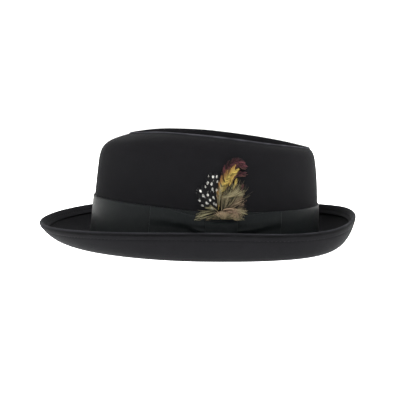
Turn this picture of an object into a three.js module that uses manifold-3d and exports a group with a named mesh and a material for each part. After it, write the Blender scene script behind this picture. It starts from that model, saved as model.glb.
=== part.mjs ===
// A porkpie hat of black felt with a dented crown, an upturned brim, a ribbon band, a side bow and feathers.
// Millimetres, +Z up. The front points along -X and the bow side faces -Y. The origin is on the surface that
// the hat rests on, below the middle of its brim.

import * as THREE from "three";
import Module from "manifold-3d";
import { mergeVertices } from "three/addons/utils/BufferGeometryUtils.js";

const wasm = await Module();
wasm.setup();

// Head opening and felt
const headLength = 197;
const headWidth = 166;
const feltWall = 2;
const ovalFullness = 0.06;

// Crown: heights above the surface, the dent's outline and its depth
const crownHeight = 99;
const crownBackDrop = 15.5;
const crownFrontDrop = 2;
const ridgeFrontInset = 36;
const ridgeBackInset = 8;
const ridgeWidth = 94;
const dentDepth = 16;

// The ridge's shape: where it is widest and highest from front to back, and how round its ends are
const ridgeWidest = 0.58;
const ridgePeak = 0.2;
const ridgeRoundness = 0.45;
const ridgeTaper = 1.8;
const ridgeSlope = 1.5;

// Brim: how far it stands out from the crown's foot, and how high its rim is turned up
const brimFront = 44.3;
const brimSide = 32.5;
const brimBack = 31.5;
const rimFront = 21;
const rimSide = 26;
const rimBack = 28;
const rimDip = 3.5;
const brimFrontLift = 1.5;
const fullnessFront = 0.14;
const fullnessBack = 0.22;
const curlFront = 58;
const curlSide = 66;
const curlBack = 72;
const breakRadius = 1;
const restWidth = 9;
const cornerRest = 9;
const weltWidth = 9.5;
const weltLift = 1.6;
const rimRound = 1.2;

// Ribbon band and bow
const bandHeight = 34;
const bandFrontRise = 5;
const bandBackDrop = 2;
const ribbonThickness = 1;
const bowSetback = 11;
const wingFrontLength = 45;
const wingBackLength = 40;
const wingRootHeight = 26;
const wingPuff = 4.5;
const wingFold = 2.2;
const knotWidth = 26;
const knotHeight = 22;
const knotThickness = 7;

// Feathers
const featherThickness = 1;
const hackleLength = 30;
const hackleWidth = 3.4;
const tuftWidth = 24;
const tuftHeight = 8.5;
const tuftThickness = 4.6;
const guineaLength = 36;
const guineaWidth = 13;
const goldLength = 44;
const goldWidth = 14;
const burgundyLength = 50;
const burgundyWidth = 9;

// Fit
const clearance = 0.3;
const segments = 64;
const joinTolerance = 0.02;

const crownLength = headLength + 2 * feltWall;
const crownWidth = headWidth + 2 * feltWall;
const brimLength = crownLength + brimFront + brimBack;
const crownMiddleX = brimFront + crownLength / 2 - brimLength / 2;
const crownFrontX = crownMiddleX - crownLength / 2;
const crownBackX = crownMiddleX + crownLength / 2;
const bandBottom = feltWall + breakRadius + clearance;
const bandTop = bandBottom + bandHeight;
const bandOut = clearance + ribbonThickness;
const bowMiddle = bandBottom + bandHeight / 2;

// How far the crown's wall has come in at each height: shares of the way from its foot to the dent's ridge
const wallRows = [
  { rise: 0, front: 0, side: 0, back: 0 },
  { rise: 0.5, front: 0.13, side: 0.15, back: 0.1 },
  { rise: 0.68, front: 0.19, side: 0.22, back: 0.18 },
  { rise: 0.81, front: 0.25, side: 0.31, back: 0.3 },
  { rise: 0.88, front: 0.33, side: 0.41, back: 0.4 },
  { rise: 0.93, front: 0.48, side: 0.54, back: 0.52 },
  { rise: 0.97, front: 0.74, side: 0.74, back: 0.72 },
  { rise: 1, front: 1, side: 1, back: 1 },
];

// The dent from its ridge to its middle: shares of the way in, and of the dent's depth
const dentRows = [
  { inward: 0.03, drop: 0.04 },
  { inward: 0.08, drop: 0.28 },
  { inward: 0.15, drop: 0.68 },
  { inward: 0.24, drop: 0.94 },
  { inward: 0.38, drop: 1 },
  { inward: 0.7, drop: 0.92 },
];
const dentMiddleDrop = 0.86;

const mix = THREE.MathUtils.lerp;

// One value for an angle round the hat, out of those at its front, side and back
function around(angle, front, side, back) {
  const along = Math.cos(angle);
  return along < 0 ? mix(side, front, along * along) : mix(side, back, along * along);
}

function footPoint(angle) {
  return new THREE.Vector2(
    crownMiddleX + (crownLength / 2) * Math.cos(angle),
    (crownWidth / 2) * Math.sin(angle) * (1 + ovalFullness * Math.cos(angle)),
  );
}

function outward(angle) {
  return new THREE.Vector2(Math.cos(angle) / crownLength, Math.sin(angle) / crownWidth).normalize();
}

function footHeight(angle) {
  return brimFrontLift * Math.max(0, -Math.cos(angle)) ** 1.5;
}

// The dent's ridge in plan is a leaf: pointed in front, widest behind the middle, rounded at the back
const ridgeFrontX = crownFrontX + ridgeFrontInset;
const ridgeBackX = crownBackX - ridgeBackInset;
const ridgeWidestX = mix(ridgeFrontX, ridgeBackX, ridgeWidest);

function ridgePoint(angle) {
  const along = Math.cos(angle);
  const reach = along < 0 ? ridgeWidestX - ridgeFrontX : ridgeBackX - ridgeWidestX;
  const leaf = 1 - Math.abs(along) ** ridgeTaper;
  const share = mix(leaf, Math.abs(Math.sin(angle)), ridgeRoundness) * Math.sign(Math.sin(angle));
  return new THREE.Vector2(ridgeWidestX + reach * along, (ridgeWidth / 2) * share);
}

// The ridge is highest a little behind its front point and slopes down to the back
const peakX = mix(ridgeFrontX, ridgeBackX, ridgePeak);

function ridgeHeight(x) {
  if (x < peakX) {
    return crownHeight - crownFrontDrop * ((peakX - x) / (peakX - ridgeFrontX)) ** 2;
  }
  return crownHeight - crownBackDrop * ((x - peakX) / (ridgeBackX - peakX)) ** ridgeSlope;
}

// A point of the crown's outer wall, at a share of the way up to the ridge
function wallPoint(angle, rise) {
  const upper = Math.max(1, wallRows.findIndex((row) => row.rise >= rise));
  const [a, b] = [wallRows[upper - 1], wallRows[upper]];
  const share = (rise - a.rise) / (b.rise - a.rise);
  const inset = mix(around(angle, a.front, a.side, a.back), around(angle, b.front, b.side, b.back), share);
  const ridge = ridgePoint(angle);
  const plan = footPoint(angle).lerp(ridge, inset);
  return new THREE.Vector3(plan.x, plan.y, mix(footHeight(angle), ridgeHeight(ridge.x), rise));
}

// A point at a height over the crown's foot, standing out from its wall
function onWall(angle, height, out) {
  const foot = footHeight(angle);
  const top = ridgeHeight(ridgePoint(angle).x);
  const point = wallPoint(angle, Math.min(1, height / (top - foot)));
  const away = outward(angle);
  return new THREE.Vector3(point.x + away.x * out, point.y + away.y * out, point.z);
}

function dentPoint(angle, inward, drop) {
  const middle = new THREE.Vector2((ridgeFrontX + ridgeBackX) / 2, 0);
  const plan = ridgePoint(angle).lerp(middle, inward);
  return new THREE.Vector3(plan.x, plan.y, ridgeHeight(plan.x) - dentDepth * drop);
}

// The brim's section: flat where it rests, widest at its back corners, then an arc that turns up to the rim
function brimSection(angle) {
  const corner = Math.cos(angle) < 0 ? fullnessFront : fullnessBack;
  const fullness = 1 + corner * Math.sin(2 * angle) ** 2;
  const foot = footHeight(angle);
  const rest = restWidth + (Math.cos(angle) < 0 ? 0 : cornerRest * Math.sin(2 * angle) ** 2);
  const flat = breakRadius + rest;
  const reach = around(angle, brimFront, brimSide, brimBack) * fullness - rimRound - flat;
  const dip = Math.cos(angle) < 0 ? 0 : rimDip * Math.sin(2 * angle) ** 2;
  const rise = around(angle, rimFront, rimSide, rimBack) - dip - feltWall - foot;
  const turn = THREE.MathUtils.degToRad(around(angle, curlFront, curlSide, curlBack));
  return { foot, rest, flat, reach, rise, turn, weltShare: 1 - weltWidth / Math.hypot(reach, rise) };
}

// A point of the brim's upper face: a distance out from the crown's foot, then a share of the way up its curl
function brimPoint(angle, distance, share) {
  const { foot, reach, rise, turn } = brimSection(angle);
  const out = distance + (reach * Math.sin(share * turn)) / Math.sin(turn);
  const lift = (rise * (1 - Math.cos(share * turn))) / (1 - Math.cos(turn));
  const plan = footPoint(angle).addScaledVector(outward(angle), out);
  return new THREE.Vector3(plan.x, plan.y, foot + feltWall + lift);
}

// Rings of the felt's upper face from the dent's middle out to the rim
function feltRings() {
  const bend = breakRadius * (1 - Math.SQRT1_2);
  const rings = dentRows.map((row) => (angle) => dentPoint(angle, row.inward, row.drop)).reverse();
  for (const row of wallRows.slice(1).reverse()) {
    rings.push((angle) => wallPoint(angle, row.rise));
  }
  rings.push((angle) => onWall(angle, feltWall + breakRadius, 0));
  rings.push((angle) => onWall(angle, feltWall + bend, bend));
  for (const share of [0, 0.5, 1]) {
    rings.push((angle) => brimPoint(angle, breakRadius + brimSection(angle).rest * share, 0));
  }
  const curl = (angle, share) => brimPoint(angle, brimSection(angle).flat, share);
  for (const share of [0.25, 0.5, 0.75, 0.98]) {
    rings.push((angle) => curl(angle, brimSection(angle).weltShare * share));
  }
  for (const share of [0, 0.5, 1]) {
    rings.push((angle) => curl(angle, mix(brimSection(angle).weltShare, 1, share)));
  }
  return rings;
}

// Crown and brim: the upper face, and the same face moved down through the felt
function feltBody() {
  const rings = feltRings();
  const grid = rings.map((ring) => {
    return Array.from({ length: segments }, (_, j) => ring((j / segments) * 2 * Math.PI));
  });
  const middle = dentPoint(0, 1, dentMiddleDrop);
  const last = grid.length - 1;
  const normals = grid.map((row, i) => row.map((point, j) => {
    const round = row[(j + 1) % segments].clone().sub(row[(j + segments - 1) % segments]);
    const inner = i > 0 ? grid[i - 1][j] : middle;
    const outer = i < last ? grid[i + 1][j] : point;
    return outer.clone().sub(inner).cross(round).normalize();
  }));
  const moved = (i, amount) => {
    return grid[i].map((point, j) => point.clone().addScaledVector(normals[i][j], amount));
  };

  const rows = [];
  for (let i = 0; i <= last; i += 1) {
    rows.push(moved(i, i > last - 3 ? weltLift : 0));
  }
  for (const share of [0.8, 0.2]) {
    const edge = moved(last, mix(-feltWall, weltLift, share));
    rows.push(edge.map((point, j) => {
      const away = outward((j / segments) * 2 * Math.PI);
      return point.add(new THREE.Vector3(away.x, away.y, 0).multiplyScalar(rimRound));
    }));
  }
  for (let i = last; i >= 0; i -= 1) {
    rows.push(moved(i, -feltWall));
  }
  const under = middle.clone().setZ(middle.z - feltWall);
  return ringSolid(middle, rows, under);
}

// A closed solid through rings of points, with a point at each end
function ringSolid(first, rows, end) {
  const points = [first, ...rows.flat(), end];
  const faces = [];
  const at = (i, j) => 1 + i * segments + (j % segments);
  const count = rows.length;
  for (let j = 0; j < segments; j += 1) {
    faces.push(0, at(0, j), at(0, j + 1));
    faces.push(at(count - 1, j), points.length - 1, at(count - 1, j + 1));
    for (let i = 0; i + 1 < count; i += 1) {
      faces.push(at(i, j), at(i + 1, j), at(i + 1, j + 1));
      faces.push(at(i, j), at(i + 1, j + 1), at(i, j + 1));
    }
  }
  return solid(points, faces);
}

// A closed loop of ribbon: its section's rows run round the crown
function loopSolid(rows) {
  const points = rows.flat();
  const faces = [];
  const at = (i, j) => (i % rows.length) * segments + (j % segments);
  for (let j = 0; j < segments; j += 1) {
    for (let i = 0; i < rows.length; i += 1) {
      faces.push(at(i, j), at(i + 1, j), at(i + 1, j + 1));
      faces.push(at(i, j), at(i + 1, j + 1), at(i, j + 1));
    }
  }
  return solid(points, faces);
}

// A closed slab between a front face and a back face, each a point for shares u and v
function slabSolid(countU, countV, front, back) {
  const points = [];
  const faces = [];
  const size = (countU + 1) * (countV + 1);
  for (const face of [front, back]) {
    for (let i = 0; i <= countU; i += 1) {
      for (let j = 0; j <= countV; j += 1) {
        points.push(face(i / countU, j / countV));
      }
    }
  }
  const at = (i, j) => i * (countV + 1) + j;
  const quad = (a, b, c, d) => faces.push(a, b, c, a, c, d);
  for (let i = 0; i < countU; i += 1) {
    for (let j = 0; j < countV; j += 1) {
      quad(at(i, j), at(i + 1, j), at(i + 1, j + 1), at(i, j + 1));
      quad(size + at(i, j), size + at(i, j + 1), size + at(i + 1, j + 1), size + at(i + 1, j));
    }
  }
  for (let i = 0; i < countU; i += 1) {
    quad(at(i, 0), size + at(i, 0), size + at(i + 1, 0), at(i + 1, 0));
    quad(at(i, countV), at(i + 1, countV), size + at(i + 1, countV), size + at(i, countV));
  }
  for (let j = 0; j < countV; j += 1) {
    quad(at(0, j), at(0, j + 1), size + at(0, j + 1), size + at(0, j));
    quad(at(countU, j), size + at(countU, j), size + at(countU, j + 1), at(countU, j + 1));
  }
  return solid(points, faces);
}

function solid(points, faces) {
  const geometry = new THREE.BufferGeometry().setFromPoints(points);
  geometry.setIndex(faces);
  return geometry;
}

// Joins leave corners that nearly meet: they become one, and the triangles between them go
function withoutSlivers(geometry) {
  const welded = mergeVertices(geometry, joinTolerance);
  const corners = welded.index.array;
  const kept = [];
  for (let i = 0; i < corners.length; i += 3) {
    const [a, b, c] = corners.subarray(i, i + 3);
    if (a !== b && b !== c && c !== a) {
      kept.push(a, b, c);
    }
  }
  welded.setIndex(kept);
  return welded;
}

// Several solids joined into one
function fused(parts) {
  const joined = parts.map((geometry) => {
    const merged = mergeVertices(geometry);
    return new wasm.Manifold(new wasm.Mesh({
      numProp: 3,
      vertProperties: new Float32Array(merged.attributes.position.array),
      triVerts: new Uint32Array(merged.index.array),
    }));
  }).reduce((whole, part) => whole.add(part));
  const mesh = joined.getMesh();
  const geometry = new THREE.BufferGeometry();
  geometry.setAttribute("position", new THREE.BufferAttribute(mesh.vertProperties, 3));
  geometry.setIndex(new THREE.BufferAttribute(mesh.triVerts, 1));
  return withoutSlivers(geometry);
}

// The ribbon's upper edge is higher in front and lower at the back
function bandRise(angle) {
  const along = Math.cos(angle);
  return along < 0 ? bandFrontRise * (1 - (1 + along) ** 2) : -bandBackDrop * along * along;
}

// Ribbon band with slightly eased outer edges
function hatBand() {
  const ease = ribbonThickness / 4;
  const section = [
    { height: bandBottom, out: clearance },
    { height: bandBottom, out: bandOut - ease },
    { height: bandBottom + ease, out: bandOut },
    { height: bowMiddle, out: bandOut },
    { height: bandTop - ease, out: bandOut },
    { height: bandTop, out: bandOut - ease },
    { height: bandTop, out: clearance },
    { height: bowMiddle, out: clearance },
  ];
  return loopSolid(section.map(({ height, out }) => {
    return Array.from({ length: segments }, (_, j) => {
      const angle = (j / segments) * 2 * Math.PI;
      return onWall(angle, height > bowMiddle ? height + bandRise(angle) : height, out);
    });
  }).reverse());
}

// The bow sits on the -Y side. A distance along the wall from the knot's middle becomes an angle
const knotAngle = -Math.acos((bowSetback * 2) / crownLength);
const wallSpeed = footPoint(knotAngle + 0.01).distanceTo(footPoint(knotAngle - 0.01)) / 0.02;

function angleAlong(distance) {
  return knotAngle + distance / wallSpeed;
}

// One wing: a flat loop of ribbon, pinched at the knot into an upper and a lower swell with a valley between
function bowWing(side, length) {
  const start = knotWidth / 2 + clearance;
  const seat = bandOut + clearance;
  const place = (u, v, out) => {
    const angle = angleAlong(side * (start + length * u));
    const open = Math.min(1, 1.4 * u) ** 0.8;
    const height = mix(wingRootHeight, bandHeight, open);
    return onWall(angle, bowMiddle + height * (v - 0.5) + bandRise(angle) * v * open, out);
  };
  const front = (u, v) => {
    const swell = Math.abs(Math.sin(2 * Math.PI * Math.min(1, Math.max(0, v)))) ** 0.8;
    const puff = mix(wingPuff, wingFold, u ** 0.7);
    return place(u, v, seat + mix(ribbonThickness * 2, puff, swell));
  };
  const back = (u, v) => place(u, v, seat);
  const mirrored = (face) => (u, v) => face(1 - u, v);
  return side > 0 ? slabSolid(8, 8, front, back) : slabSolid(8, 8, mirrored(front), mirrored(back));
}

// The knot: ribbon wrapped round the bow's middle, with round edges
function bowKnot() {
  const seat = bandOut + clearance;
  const place = (u, v, out) => {
    return onWall(angleAlong(knotWidth * (u - 0.5)), bowMiddle + knotHeight * (v - 0.5), out);
  };
  const front = (u, v) => {
    const round = Math.max(Math.abs(2 * u - 1) ** 6, Math.abs(2 * v - 1) ** 6);
    return place(u, v, seat + knotThickness * (1 - 0.35 * round));
  };
  return slabSolid(6, 6, front, (u, v) => place(u, v, seat));
}

// Feathers are laid out in a plane on the wall: along it from the knot's middle and up from the tuft's middle
const tuftFoot = bowMiddle + knotHeight / 2 + clearance;
const tuftMiddle = tuftFoot + tuftHeight / 2;
const layerStep = featherThickness + clearance;
const burgundyLayer = clearance;
const guineaLayer = burgundyLayer + layerStep;
const goldLayer = guineaLayer + layerStep;
const tuftLayer = goldLayer + layerStep;

// They lean as the straight lower wall does, and so stand away from the crown's rounded shoulder
function onFeatherPlane(along, up, out) {
  const angle = angleAlong(along);
  const low = onWall(angle, bandBottom, out);
  const high = onWall(angle, bandTop, out);
  return low.lerp(high, (tuftMiddle + up - bandBottom) / (bandTop - bandBottom));
}

// A flat leaf along a curve through shares of a length, its width swelling and closing again
function leaf({ length, width, layer, spine, root = 0.25, tip = 0.08, fullest = 0.6, steps = 9 }) {
  const curve = new THREE.CatmullRomCurve3(
    spine.map(({ along, up }) => new THREE.Vector3(along * length, up * length, 0)),
  );
  const face = (out) => (u, v) => {
    const middle = curve.getPointAt(u);
    const along = curve.getTangentAt(u);
    const swell = u < fullest ? mix(root, 1, Math.sin((u / fullest) * Math.PI / 2))
      : mix(tip, 1, Math.cos(((u - fullest) / (1 - fullest)) * Math.PI / 2));
    const half = (width / 2) * swell * (2 * v - 1);
    return onFeatherPlane(middle.x - along.y * half, middle.y + along.x * half, out);
  };
  return slabSolid(steps, 2, face(layer + featherThickness), face(layer));
}

function guineaFeathers() {
  const shared = { length: guineaLength, width: guineaWidth, layer: guineaLayer };
  const upright = [{ along: -0.1, up: 0.1 }, { along: -0.24, up: 0.55 }, { along: -0.3, up: 0.97 }];
  const leaning = [{ along: -0.12, up: 0.08 }, { along: -0.4, up: 0.38 }, { along: -0.56, up: 0.68 }];
  return fused([leaf({ ...shared, spine: upright }), leaf({ ...shared, spine: leaning })]);
}

function goldFeather() {
  return leaf({
    length: goldLength,
    width: goldWidth,
    layer: goldLayer,
    root: 0.2,
    fullest: 0.7,
    spine: [
      { along: -0.08, up: 0.06 },
      { along: -0.07, up: 0.4 },
      { along: 0.06, up: 0.72 },
      { along: 0.26, up: 0.93 },
    ],
  });
}

function burgundyFeather() {
  const shared = { length: burgundyLength, width: burgundyWidth, layer: burgundyLayer };
  return fused([
    leaf({
      ...shared,
      steps: 12,
      spine: [
        { along: 0.02, up: 0.06 },
        { along: 0.02, up: 0.5 },
        { along: 0.08, up: 0.82 },
        { along: 0.22, up: 0.91 },
        { along: 0.4, up: 0.8 },
      ],
    }),
    leaf({
      ...shared,
      width: burgundyWidth * 0.7,
      spine: [{ along: 0.02, up: 0.3 }, { along: 0.14, up: 0.6 }, { along: 0.42, up: 0.66 }],
    }),
  ]);
}

// Hackle locks: the way each points, its length as a share, and how far its tip stands in front of the tuft
const hackleLocks = [
  { toward: 186, length: 0.82, ahead: 1 },
  { toward: 175, length: 0.82, ahead: 0.88 },
  { toward: 163, length: 0.6, ahead: 0.62 },
  { toward: -28, length: 0.56, ahead: 0.94 },
  { toward: -9, length: 0.64, ahead: 0.82 },
  { toward: 5, length: 0.62, ahead: 0.7 },
  { toward: 19, length: 0.64, ahead: 0.52 },
  { toward: 32, length: 0.68, ahead: 0.42 },
  { toward: 45, length: 0.76, ahead: 0.32 },
  { toward: 58, length: 0.86, ahead: 0.2 },
  { toward: 72, length: 0.74, ahead: 0.26 },
  { toward: 88, length: 0.56, ahead: 0.37 },
];

function hackleTuft() {
  const rear = tuftLayer + featherThickness;
  const front = tuftLayer + tuftThickness;
  const pad = (depth) => (u, v) => {
    return onFeatherPlane(tuftWidth * (u - 0.5), tuftHeight * (v - 0.5), depth(u, v));
  };
  const bulge = (u, v) => mix(rear, front, Math.sqrt(Math.sin(Math.PI * u) * Math.sin(Math.PI * v)));
  const locks = hackleLocks.map(({ toward, length, ahead }) => {
    const turn = THREE.MathUtils.degToRad(toward);
    const face = (depth) => (u, v) => {
      const reach = hackleLength * length * u;
      const half = hackleWidth * (v - 0.5) * (1 - 0.7 * u);
      const along = reach * Math.cos(turn) - half * Math.sin(turn);
      const up = reach * Math.sin(turn) + half * Math.cos(turn);
      const low = mix(tuftLayer + featherThickness / 2, front - featherThickness, ahead);
      return onFeatherPlane(along, up, low + depth + knotThickness * 0.4 * ahead * u);
    };
    return slabSolid(4, 1, face(featherThickness), face(0));
  });
  return fused([slabSolid(8, 6, pad(bulge), pad(() => tuftLayer)), ...locks]);
}

const felt = new THREE.MeshStandardMaterial({ color: "#212224", roughness: 0.95, metalness: 0 });
const ribbon = new THREE.MeshStandardMaterial({ color: "#282c2d", roughness: 0.7, metalness: 0 });
const guinea = new THREE.MeshStandardMaterial({ color: "#1b1b1d", roughness: 0.7, metalness: 0 });
const gold = new THREE.MeshStandardMaterial({ color: "#b4a03c", roughness: 0.7, metalness: 0 });
const burgundy = new THREE.MeshStandardMaterial({ color: "#6e323c", roughness: 0.7, metalness: 0 });
const hackle = new THREE.MeshStandardMaterial({ color: "#7d7355", roughness: 0.8, metalness: 0 });

const hat = new THREE.Group();

function addPiece(name, geometry, material) {
  const piece = new THREE.Mesh(geometry, material);
  piece.name = name;
  hat.add(piece);
}

addPiece("felt_body", feltBody(), felt);
addPiece("hat_band", hatBand(), ribbon);
addPiece("bow_wing_front", bowWing(-1, wingFrontLength), ribbon);
addPiece("bow_wing_back", bowWing(1, wingBackLength), ribbon);
addPiece("bow_knot", bowKnot(), ribbon);
addPiece("guinea_feathers", guineaFeathers(), guinea);
addPiece("gold_feather", goldFeather(), gold);
addPiece("burgundy_feather", burgundyFeather(), burgundy);
addPiece("hackle_tuft", hackleTuft(), hackle);

export default hat;
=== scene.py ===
"""A porkpie hat of black felt with a grosgrain band, a side bow and feathers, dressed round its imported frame.

The front points along -X and the bow side faces -Y. Every size is in metres.
"""

import math
from collections import namedtuple

import bpy
import numpy as np
from bpy.props import FloatProperty, FloatVectorProperty, IntProperty, PointerProperty
from bpy.types import Operator, Panel, PropertyGroup
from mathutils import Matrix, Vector, noise


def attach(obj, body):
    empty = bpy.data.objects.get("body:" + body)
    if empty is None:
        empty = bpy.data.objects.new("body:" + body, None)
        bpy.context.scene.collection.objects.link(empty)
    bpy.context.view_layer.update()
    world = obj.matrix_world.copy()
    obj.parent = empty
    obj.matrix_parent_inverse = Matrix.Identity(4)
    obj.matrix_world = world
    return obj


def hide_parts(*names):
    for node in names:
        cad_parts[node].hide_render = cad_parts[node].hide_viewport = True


bl_info = {
    "name": "Porkpie Hat",
    "version": (1, 0, 0),
    "blender": (4, 5, 0),
    "location": "3D View > Sidebar > Hat",
    "description": "Builds a felt porkpie hat with a ribbon band, a bow and a feather mount",
    "category": "Object",
}

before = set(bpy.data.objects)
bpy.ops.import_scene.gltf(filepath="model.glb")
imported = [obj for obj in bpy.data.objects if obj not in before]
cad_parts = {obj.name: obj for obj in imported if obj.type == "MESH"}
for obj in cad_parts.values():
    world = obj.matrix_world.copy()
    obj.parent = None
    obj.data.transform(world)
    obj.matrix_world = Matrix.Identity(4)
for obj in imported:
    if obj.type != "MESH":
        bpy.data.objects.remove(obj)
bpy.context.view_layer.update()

MM = 0.001


def linear(colour):
    """An sRGB colour in hex as the linear numbers that shaders take."""
    parts = [int(colour[i:i + 2], 16) / 255 for i in (1, 3, 5)]
    return [c / 12.92 if c <= 0.04045 else ((c + 0.055) / 1.055) ** 2.4 for c in parts]


def length(name, description, default):
    return FloatProperty(name=name, description=description, default=default, min=0, precision=4,
                         unit="LENGTH", subtype="DISTANCE")


def turn(name, description, default):
    return FloatProperty(name=name, description=description, default=math.radians(default), subtype="ANGLE",
                         unit="ROTATION")


def colour(name, description, default):
    return FloatVectorProperty(name=name, description=description, default=linear(default), min=0, max=1,
                               size=3, subtype="COLOR")


class CrownSizes(PropertyGroup):
    """The crown, its dent and the felt."""

    head_length: length("Head length", "Inside of the crown's foot, front to back", 0.197)
    head_width: length("Head width", "Inside of the crown's foot, side to side", 0.166)
    felt_wall: length("Felt", "Thickness of the felt", 0.002)
    height: length("Height", "Highest point of the dent's ridge over the floor", 0.099)
    back_drop: length("Back drop", "How much lower the ridge is at the back", 0.0155)
    front_drop: length("Front drop", "How much lower the ridge is at its front point", 0.002)
    front_inset: length("Front inset", "How far the ridge's front point is behind the crown's foot", 0.036)
    back_inset: length("Back inset", "How far the ridge's back is in front of the crown's foot", 0.008)
    ridge_width: length("Ridge width", "Width of the dent between its ridges", 0.094)
    dent_depth: length("Dent depth", "How far the dent goes down from its ridge", 0.016)
    unevenness: length("Unevenness", "How far hand blocking leaves the felt off its true form", 0.00035)


class BrimSizes(PropertyGroup):
    """The brim and its welt, the felt turned over along the rim."""

    front: length("Front", "How far the brim stands out in front", 0.0443)
    side: length("Sides", "How far the brim stands out at the sides", 0.0325)
    back: length("Back", "How far the brim stands out at the back", 0.0315)
    rim_front: length("Rim in front", "Height of the rim in front", 0.021)
    rim_side: length("Rim at the sides", "Height of the rim at the sides", 0.026)
    rim_back: length("Rim at the back", "Height of the rim at the back", 0.028)
    rim_dip: length("Rim dip", "How much the rim dips between sides and back", 0.0035)
    front_lift: length("Front lift", "How far the brim's front is off the floor", 0.0015)
    curl_front: turn("Front curl", "How steeply the rim stands in front", 58)
    curl_side: turn("Side curl", "How steeply the rim stands at the sides", 66)
    curl_back: turn("Back curl", "How steeply the rim stands at the back", 72)
    welt_width: length("Welt width", "Width of the felt turned over along the rim", 0.0088)
    welt_lift: length("Welt lift", "How far the welt stands over the brim", 0.0016)
    stitch_inset: length("Stitch inset", "Distance of the welt's stitching from the rim", 0.0050)
    stitch_length: length("Stitch", "Length of one stitch and its gap", 0.0034)


class RibbonSizes(PropertyGroup):
    """The band and the bow."""

    height: length("Height", "Width of the ribbon, which is the band's height", 0.034)
    thickness: length("Thickness", "How thick the band is with its edge turned in", 0.001)
    rib: length("Rib", "Distance from one grosgrain rib to the next, drawn coarse enough to show", 0.0012)
    front_rise: length("Front rise", "How much higher the band is in front", 0.005)
    back_drop: length("Back drop", "How much lower the band is at the back", 0.002)
    bow_setback: length("Bow setback", "How far in front of the crown's middle the knot sits", 0.011)
    wing_front: length("Front wing", "Length of the bow's front wing", 0.045)
    wing_back: length("Back wing", "Length of the bow's back wing", 0.040)
    wing_root: length("Wing root", "Height of a wing where the knot gathers it", 0.026)
    wing_puff: length("Wing puff", "How far a wing swells beside the knot", 0.0045)
    wing_fold: length("Wing fold", "How far a wing stands off at its outer fold", 0.0022)
    knot_width: length("Knot width", "Width of the knot", 0.026)
    knot_height: length("Knot height", "Height of the knot", 0.022)
    knot_thickness: length("Knot thickness", "How far the knot stands out", 0.007)


class FeatherSizes(PropertyGroup):
    """The feather mount over the knot."""

    layer: length("Layer", "Depth that each layer of feathers takes", 0.0013)
    guinea_length: length("Guinea length", "Length of a guinea fowl feather", 0.036)
    guinea_width: length("Guinea width", "Width of a guinea fowl feather", 0.013)
    gold_length: length("Gold length", "Length of the gold feather", 0.044)
    gold_width: length("Gold width", "Width of the gold feather", 0.014)
    burgundy_length: length("Burgundy length", "Length of the burgundy feather", 0.050)
    burgundy_width: length("Burgundy width", "Width of the burgundy feather", 0.009)
    tuft_height: length("Tuft height", "Height of the hackle tuft's foot", 0.0085)
    tuft_thickness: length("Tuft thickness", "How far the hackle tuft stands out", 0.0046)
    barb_step: length("Barb step", "Distance between barbs, drawn coarser than the real 0.05 mm", 0.00034)
    seed: IntProperty(name="Seed", description="Which arrangement of barbs is made", default=7, min=0)


class Finishes(PropertyGroup):
    """Colours of the felt, the ribbon and the feathers."""

    felt: colour("Felt", "Dyed wool felt", "#101012")
    ribbon: colour("Ribbon", "Dyed rayon grosgrain", "#131617")
    guinea: colour("Guinea ground", "Dark ground of the spotted feathers", "#121214")
    spots: colour("Guinea spots", "Spots of the spotted feathers", "#eceae4")
    gold: colour("Gold", "Dyed gold feather", "#8c7a3e")
    gold_edge: colour("Gold edge", "Brown edge of the gold feather", "#6b4a2a")
    burgundy: colour("Burgundy", "Dyed burgundy feather", "#48222a")
    burgundy_edge: colour("Burgundy edge", "Brown edge of the burgundy feather", "#463029")
    hackle: colour("Hackle", "Olive hackle", "#6f6a50")
    hackle_warm: colour("Warm hackle", "Tan and pinkish hackle", "#776352")
    floor: colour("Floor", "Studio floor", "#f2f2f0")


class HatSizes(PropertyGroup):
    """All that a user would change."""

    crown: PointerProperty(type=CrownSizes)
    brim: PointerProperty(type=BrimSizes)
    ribbon: PointerProperty(type=RibbonSizes)
    feathers: PointerProperty(type=FeatherSizes)
    finishes: PointerProperty(type=Finishes)


# The crown's wall at shares of the way up from its foot: how far it has come in towards the dent's ridge
WALL_RISES = (0.0, 0.5, 0.68, 0.81, 0.88, 0.93, 0.97, 1.0)
WALL_INSETS = {
    "front": (0.0, 0.13, 0.19, 0.25, 0.33, 0.48, 0.74, 1.0),
    "side": (0.0, 0.15, 0.22, 0.31, 0.41, 0.54, 0.74, 1.0),
    "back": (0.0, 0.1, 0.18, 0.3, 0.4, 0.52, 0.72, 1.0),
}

# The dent from its ridge to its middle: shares of the way in, and of the dent's depth
DENT_SECTION = ((0.03, 0.04), (0.08, 0.28), (0.15, 0.68), (0.24, 0.94), (0.38, 1.0), (0.7, 0.92), (1.0, 0.86))

# The crown's plan: how egg-shaped its foot is, and where its ridge is widest and highest from front to back
OVAL_FULLNESS = 0.06
RIDGE_WIDEST = 0.58
RIDGE_PEAK = 0.2
RIDGE_ROUNDNESS = 0.45
RIDGE_TAPER = 1.8
RIDGE_SLOPE = 1.5

# The brim: how much further it reaches at its corners, the bend at the crown's foot and what lies flat
FULLNESS_FRONT = 0.14
FULLNESS_BACK = 0.22
BREAK_RADIUS = 1 * MM
REST_WIDTH = 9 * MM
CORNER_REST = 9 * MM
RIM_ROUND = 1.2 * MM

# What is left between neighbouring pieces
CLEARANCE = 0.3 * MM


def mix(a, b, t):
    return a + (b - a) * t


def smooth(t):
    t = np.clip(t, 0, 1)
    return t * t * (3 - 2 * t)


def around(angle, front, side, back):
    """One value for an angle round the hat, out of those at its front, side and back."""
    along = np.cos(angle)
    return mix(side, np.where(along < 0, front, back), along ** 2)


def stacked(*columns):
    return np.stack(np.broadcast_arrays(*columns), -1)


def turns(count):
    """Angles evenly spaced round a full turn."""
    return np.arange(count) / count * 2 * math.pi


def unit(vectors):
    return vectors / np.maximum(np.linalg.norm(vectors, axis=-1, keepdims=True), 1e-12)


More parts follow.
